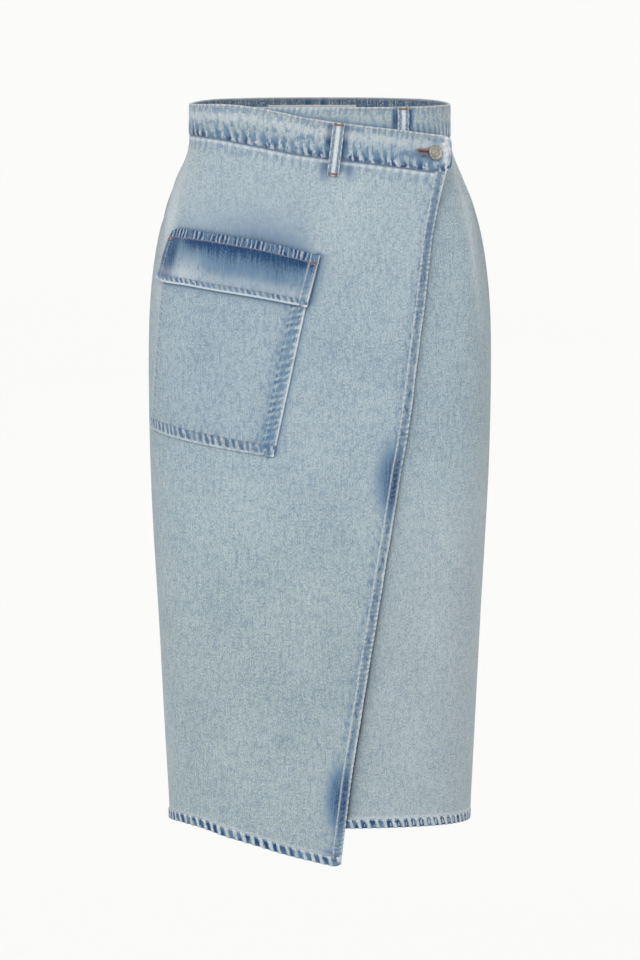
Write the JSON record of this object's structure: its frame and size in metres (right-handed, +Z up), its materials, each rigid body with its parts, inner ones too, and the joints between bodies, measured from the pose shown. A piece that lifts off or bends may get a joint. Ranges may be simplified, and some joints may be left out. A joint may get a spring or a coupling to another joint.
{
  "type": "denim skirt",
  "caption": "Knee-length wrap skirt in light washed denim with a slanted buttoned waistband and a flap patch pocket, in its worn, hollow shape.",
  "frame": {"origin": "middle of the waist opening, halfway up the waistband, where the wearer's waist holds the skirt", "axes": "+Z up, -Y out of the front, +X to the wearer's left; the wrap closes towards +X"},
  "size_m": [0.3521, 0.2607, 0.7859],
  "materials": {
    "denim_light": "light stone-washed cotton denim, matte, faded at edges and seams",
    "denim_pocket": "light washed denim, a little bluer",
    "denim_flap": "washed denim, dark under its seam and faded below",
    "denim_inside": "the grey-blue inner face of the waistband",
    "thread": "faded rust and tan topstitching thread",
    "label_cloth": "plain cream woven label",
    "button_metal": "worn pewter tack button, satin"
  },
  "bodies": {
    "root": {"back_panel": "denim_light", "front_under_panel": "denim_light", "front_over_panel": "denim_light", "waistband_back": "denim_inside", "waistband_under": "denim_light", "waistband_over": "denim_light", "pocket_body": "denim_pocket", "pocket_flap": "denim_flap", "belt_loop_over": "denim_light", "belt_loop_under": "denim_light", "belt_loop_back": "denim_light", "waist_button": "button_metal", "waist_label": "label_cloth"}
  },
  "joints": []
}
